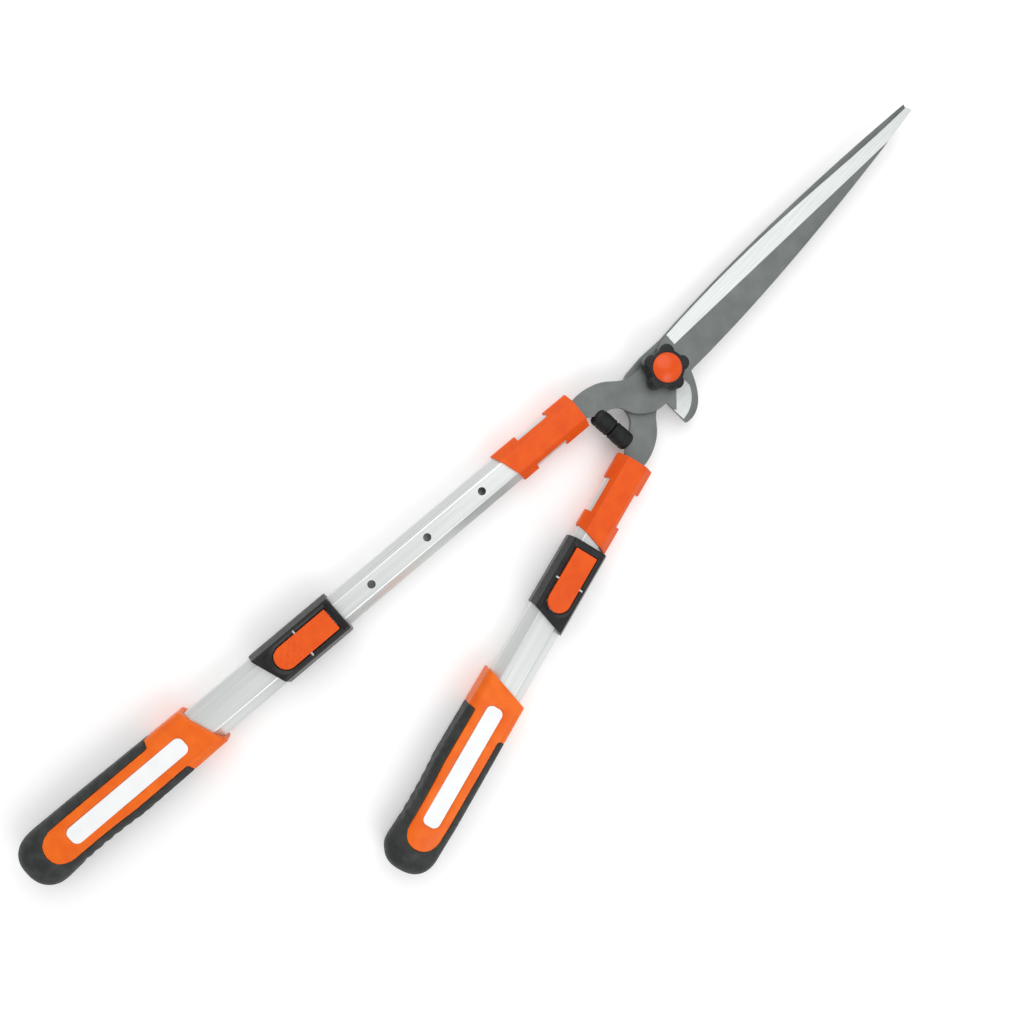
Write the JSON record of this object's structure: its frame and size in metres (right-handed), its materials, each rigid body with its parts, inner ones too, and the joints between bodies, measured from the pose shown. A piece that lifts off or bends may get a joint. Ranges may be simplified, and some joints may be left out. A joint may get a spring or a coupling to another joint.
{
  "type": "telescopic hedge shears",
  "caption": "Hand shears with two long tapered blades on a knob-tightened pivot and two telescopic tube handles with rocker locks and soft grips.",
  "frame": {"origin": "on the pivot axis, midway between the two blades", "axes": "+Z out of the front of the pivot towards the tension knob, +Y along the closed blades to their tips, +X to the right arm's side"},
  "size_m": [0.2176, 0.8293, 0.0345],
  "materials": {
    "forged_steel": "satin ground and bead-blasted",
    "bright_steel": "turned",
    "aluminium": "satin anodised",
    "orange_plastic": "fine matt",
    "orange_gloss": "semi-gloss",
    "black_plastic": "fine matt",
    "black_rubber": "soft matt",
    "pale_plastic": "satin",
    "grey_plastic": "matt"
  },
  "bodies": {
    "rear_arm": {"blade_rear": "forged_steel", "pivot_bolt": "bright_steel", "pivot_bush": "bright_steel", "pivot_washer": "bright_steel", "spring_washer": "bright_steel", "bumper_right": "black_rubber", "tang_insert_right": "grey_plastic", "tang_pins_right": "bright_steel", "ferrule_right": "orange_plastic", "inner_tube_right": "aluminium", "inner_glide_right": "grey_plastic"},
    "front_arm": {"blade_front": "forged_steel", "bumper_left": "black_rubber", "tang_insert_left": "grey_plastic", "tang_pins_left": "bright_steel", "ferrule_left": "orange_plastic", "inner_tube_left": "aluminium", "inner_glide_left": "grey_plastic"},
    "knob": {"tension_knob": "black_plastic", "knob_cap": "orange_gloss", "pivot_nut": "bright_steel"},
    "handle_left": {"outer_tube_left": "aluminium", "lock_collar_left": "black_plastic", "rocker_pin_left": "bright_steel", "rocker_spring_left": "bright_steel", "grip_core_left": "orange_plastic", "grip_inlay_left": "pale_plastic", "grip_rubber_left": "black_rubber"},
    "rocker_left": {"lock_rocker_left": "orange_plastic", "lock_peg_left": "bright_steel"},
    "handle_right": {"outer_tube_right": "aluminium", "lock_collar_right": "black_plastic", "rocker_pin_right": "bright_steel", "rocker_spring_right": "bright_steel", "grip_core_right": "orange_plastic", "grip_inlay_right": "pale_plastic", "grip_rubber_right": "black_rubber"},
    "rocker_right": {"lock_rocker_right": "orange_plastic", "lock_peg_right": "bright_steel"}
  },
  "joints": [
    {"name": "blades_open", "type": "hinge", "parent": "rear_arm", "child": "front_arm", "pos_m": [0, 0, 0], "axis": [0, 0, -1], "range_deg": [0, 50]},
    {"name": "tension_turn", "type": "hinge", "parent": "rear_arm", "child": "knob", "pos_m": [0, 0, 0.01], "axis": [0, 0, 1], "range_deg": [-90, 90]},
    {"name": "left_extend", "type": "slide", "parent": "front_arm", "child": "handle_left", "axis": [-0.1115, -0.9938, 0], "range_m": [-0.15, 0]},
    {"name": "left_rocker", "type": "hinge", "parent": "handle_left", "child": "rocker_left", "pos_m": [-0.05299, -0.31541, 0.014], "axis": [0.9938, -0.1115, 0], "range_deg": [-8.5, 0]},
    {"name": "right_extend", "type": "slide", "parent": "rear_arm", "child": "handle_right", "axis": [0.2198, -0.9755, 0], "range_m": [0, 0.15]},
    {"name": "right_rocker", "type": "hinge", "parent": "handle_right", "child": "rocker_right", "pos_m": [0.05431, -0.16136, 0.014], "axis": [0.9755, 0.2198, 0], "range_deg": [-8.5, 0]}
  ]
}
